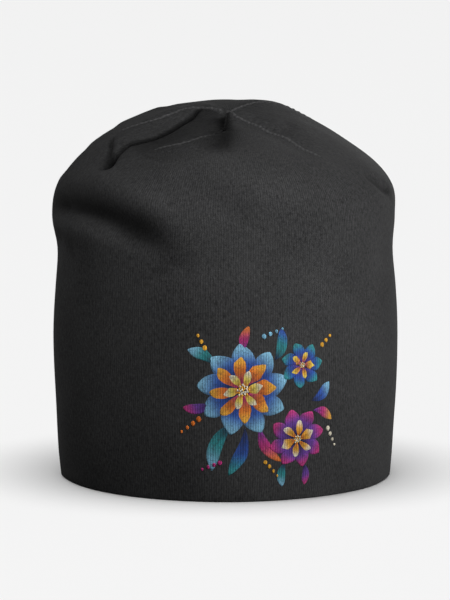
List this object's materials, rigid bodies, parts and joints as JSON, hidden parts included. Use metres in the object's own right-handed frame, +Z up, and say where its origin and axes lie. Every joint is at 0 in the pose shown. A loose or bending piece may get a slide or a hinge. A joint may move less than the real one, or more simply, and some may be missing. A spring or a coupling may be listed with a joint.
{
  "type": "jersey beanie",
  "caption": "Slouched jersey cap: straight double-layer wall, closed crown with four dart seams and soft folds, hollow inside, standing on its open folded rim.",
  "frame": {"origin": "middle of the rim, on the surface that the cap stands on", "axes": "+Z up from the rim to the crown, front of the cap faces -Y, +X to the right of a front view"},
  "size_m": [0.1724, 0.1936, 0.1861],
  "materials": {
    "jersey": "heathered charcoal cotton jersey, fine vertical wales, matt",
    "seam_thread": "charcoal sewing thread over a folded seam, matt",
    "print_ink": "thin matt print inks in orange, yellow, magenta, violet, blue, teal and white"
  },
  "bodies": {
    "root": {"shell": "jersey", "crown_seam_front_right": "seam_thread", "crown_seam_front_left": "seam_thread", "crown_seam_back_left": "seam_thread", "crown_seam_back_right": "seam_thread"}
  },
  "joints": []
}
